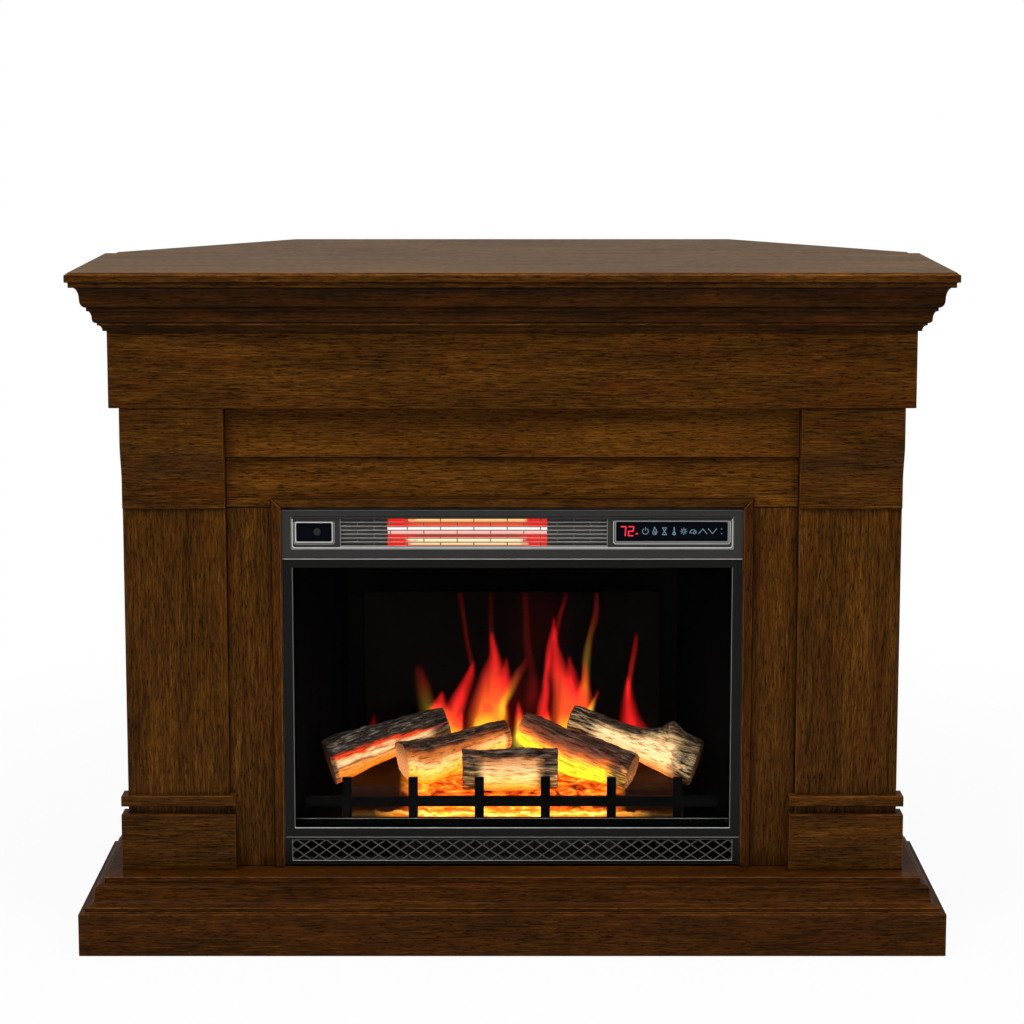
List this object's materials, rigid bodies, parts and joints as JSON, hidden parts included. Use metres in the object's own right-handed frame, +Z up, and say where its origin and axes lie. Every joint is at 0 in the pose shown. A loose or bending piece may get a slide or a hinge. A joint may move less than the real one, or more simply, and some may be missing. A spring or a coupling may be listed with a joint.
{
  "type": "electric corner fireplace",
  "caption": "Dark walnut mantel with a stepped base, moulded crown and angled corner top, holding an infrared electric insert with glass front, logs and flame effect.",
  "frame": {"origin": "centre of the overall box at floor level", "axes": "+X to the right of the object seen from the front, +Y to its back, +Z up"},
  "size_m": [1.226, 0.591, 0.97],
  "materials": {
    "walnut_veneer": "satin lacquered dark walnut veneer",
    "carcase_board": "matt board",
    "hardboard": "matt hardboard",
    "black_enamel": "satin black powder coat",
    "grille_steel": "dark grey coated steel",
    "clear_glass": "clear tempered glass",
    "dark_window": "gloss black window",
    "flame_screen": "dark projection screen",
    "log_resin": "moulded resin painted as split logs",
    "ember_resin": "translucent ember resin lit from below",
    "black_nylon": "matt black nylon",
    "zinc_steel": "zinc-plated sheet steel",
    "polished_reflector": "polished aluminium reflector sheet",
    "quartz": "glowing quartz tubes in ceramic holders",
    "circuit_board": "green circuit board"
  },
  "bodies": {
    "mantel": {"top_slab": "walnut_veneer", "corner_top": "walnut_veneer", "corner_battens": "carcase_board", "crown_front": "walnut_veneer", "crown_left": "walnut_veneer", "crown_right": "walnut_veneer", "frieze_front": "walnut_veneer", "frieze_left": "walnut_veneer", "frieze_right": "walnut_veneer", "capital_left": "walnut_veneer", "capital_right": "walnut_veneer", "pilaster_left": "walnut_veneer", "pilaster_right": "walnut_veneer", "plinth_left": "walnut_veneer", "plinth_right": "walnut_veneer", "header_upper": "walnut_veneer", "header_lower": "walnut_veneer", "stile_left": "walnut_veneer", "stile_right": "walnut_veneer", "trim_top": "walnut_veneer", "trim_left": "walnut_veneer", "trim_right": "walnut_veneer", "side_panel_left": "carcase_board", "side_panel_right": "carcase_board", "jambs": "carcase_board", "insert_shelf": "carcase_board", "back_panel": "hardboard", "base_front": "walnut_veneer", "base_left": "walnut_veneer", "base_right": "walnut_veneer", "base_rail": "carcase_board", "hearth_board": "walnut_veneer", "insert_case": "black_enamel", "case_back": "black_enamel", "cord_gland": "black_nylon", "top_bezel": "black_enamel", "heater_grille": "grille_steel", "sensor_window": "dark_window", "display_panel": "dark_window", "glass_frame": "black_enamel", "front_glass": "clear_glass", "lower_grille": "black_enamel", "firebox_liner": "black_enamel", "flame_screen": "flame_screen", "ember_bed": "ember_resin", "grate": "black_enamel", "log_1": "log_resin", "log_2": "log_resin", "log_3": "log_resin", "log_4": "log_resin", "log_5": "log_resin", "spindle_cradle": "zinc_steel", "spindle_motor": "zinc_steel", "blower_housing": "black_enamel", "blower_motor": "zinc_steel", "quartz_heater": "quartz", "heat_reflector": "polished_reflector", "circuit_boards": "circuit_board"},
    "spindle": {"flame_spindle": "polished_reflector"},
    "fan": {"blower_impeller": "black_nylon"}
  },
  "joints": [
    {"name": "flame_spin", "type": "hinge", "parent": "mantel", "child": "spindle", "pos_m": [0, -0.0505, 0.206], "axis": [1, 0, 0], "continuous": true},
    {"name": "fan_spin", "type": "hinge", "parent": "mantel", "child": "fan", "pos_m": [0, -0.0905, 0.5874], "axis": [1, 0, 0], "continuous": true}
  ]
}
